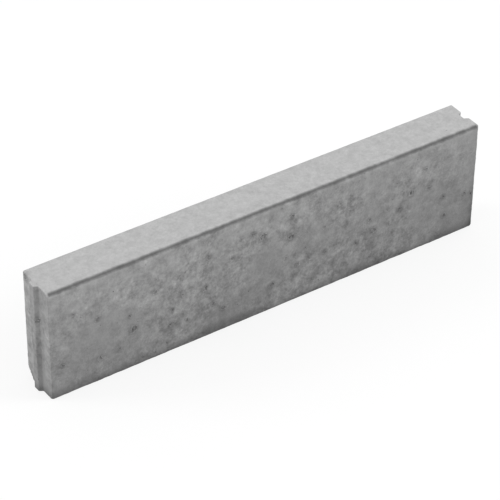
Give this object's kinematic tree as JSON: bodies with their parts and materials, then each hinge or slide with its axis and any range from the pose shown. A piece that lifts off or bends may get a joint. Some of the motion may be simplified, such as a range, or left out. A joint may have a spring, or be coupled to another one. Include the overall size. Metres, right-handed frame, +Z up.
{
  "type": "concrete kerb stone",
  "caption": "Straight concrete edging kerb, rectangular in section, with a full-height tongue on one end, a matching groove in the other and a chamfered top arris.",
  "frame": {"origin": "on the underside, in the middle of the laid length (tongue left out) and of the thickness", "axes": "+X along the stone towards its grooved end, -Y out of the face under the chamfered top arris, +Z up"},
  "size_m": [1.008, 0.09, 0.25],
  "materials": {
    "concrete": "matte"
  },
  "bodies": {
    "root": {"kerb_stone": "concrete"}
  },
  "joints": []
}
